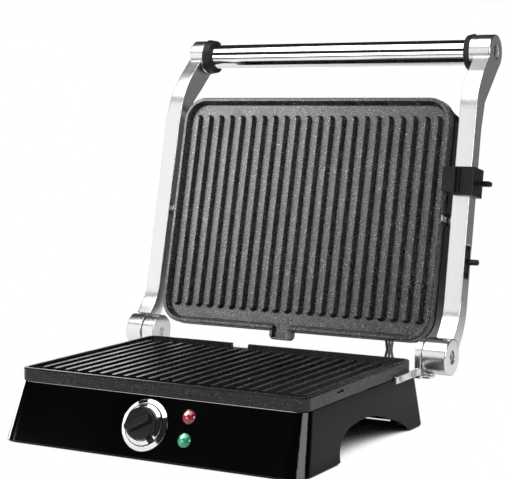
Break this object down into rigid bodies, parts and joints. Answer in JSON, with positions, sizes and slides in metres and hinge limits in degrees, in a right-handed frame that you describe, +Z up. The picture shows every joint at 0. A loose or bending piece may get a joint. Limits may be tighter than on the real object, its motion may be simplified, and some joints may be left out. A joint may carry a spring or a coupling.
{
  "type": "panini press",
  "caption": "Contact grill with ridged plates, a floating upper head on two cast arms with a tube handle, a front dial and two pilot lamps; the lid opens flat.",
  "frame": {"origin": "on the counter, below the middle of the lower plate", "axes": "+Z up, -Y toward the user at the front panel, +X to the user's right"},
  "size_m": [0.3667, 0.3848, 0.365],
  "materials": {
    "gloss_black": "high gloss moulded shell",
    "matte_black": "fine moulded texture",
    "satin_black": "satin moulded",
    "rubber_black": "matt rubber",
    "nonstick": "speckled non-stick coating on a cast plate",
    "element_steel": "oxidised steel",
    "sheet_steel": "bright sheet",
    "chrome_trim": "polished",
    "lens_red": "tinted lens",
    "lens_green": "tinted lens",
    "cast_arm": "satin die cast",
    "screw_steel": "turned",
    "handle_steel": "polished tube",
    "brushed_cover": "brushed lengthwise",
    "lead_sleeve": "silicone sleeving"
  },
  "bodies": {
    "base": {"base_housing": "gloss_black", "bottom_cover": "matte_black", "rubber_feet": "rubber_black", "cord_gland": "rubber_black", "lead_grommet": "rubber_black", "lower_grill_plate": "nonstick", "lower_heater": "element_steel", "lower_reflector": "sheet_steel", "knob_bezel": "chrome_trim", "knob_dial": "matte_black", "thermostat": "matte_black", "red_lamp": "lens_red", "green_lamp": "lens_green", "lamp_holders": "matte_black", "hinge_bracket_left": "cast_arm", "hinge_bracket_right": "cast_arm", "bracket_screws": "screw_steel", "hinge_bolts": "screw_steel", "hinge_washers": "screw_steel"},
    "dial": {"temperature_knob": "satin_black", "knob_trim": "chrome_trim", "knob_spindle": "element_steel"},
    "lid_arms": {"arm_left": "cast_arm", "arm_right": "cast_arm", "handle_tube": "handle_steel", "handle_collar_left": "matte_black", "handle_collar_right": "matte_black", "handle_plugs": "matte_black", "handle_screws": "screw_steel", "head_pivots": "screw_steel", "lock_guide": "matte_black"},
    "lock": {"lock_knob": "satin_black"},
    "height_stop": {"height_slider": "satin_black"},
    "head": {"upper_housing": "gloss_black", "top_cover": "brushed_cover", "upper_grill_plate": "nonstick", "plate_clips": "sheet_steel", "upper_heater": "element_steel", "upper_reflector": "sheet_steel", "head_leads": "lead_sleeve"}
  },
  "joints": [
    {"name": "lid_hinge", "type": "hinge", "parent": "base", "child": "lid_arms", "pos_m": [0, 0.1275, 0.064], "axis": [1, 0, 0], "range_deg": [-76.75, 103.25], "deforming": ["head_leads"]},
    {"name": "head_rock", "type": "hinge", "parent": "lid_arms", "child": "head", "pos_m": [0, 0.17628, 0.18607], "axis": [-1, 0, 0], "range_deg": [-8, 0]},
    {"name": "dial_turn", "type": "hinge", "parent": "base", "child": "dial", "pos_m": [-0.0035, -0.11652, 0.02751], "axis": [0, -0.9228, 0.3853], "range_deg": [0, 270]},
    {"name": "lock_slide", "type": "slide", "parent": "lid_arms", "child": "lock", "axis": [0, 0.1823, 0.9832], "range_m": [-0.004, 0.004]},
    {"name": "height_slide", "type": "slide", "parent": "lid_arms", "child": "height_stop", "axis": [0, 0.1823, 0.9832], "range_m": [-0.01, 0.026]}
  ]
}
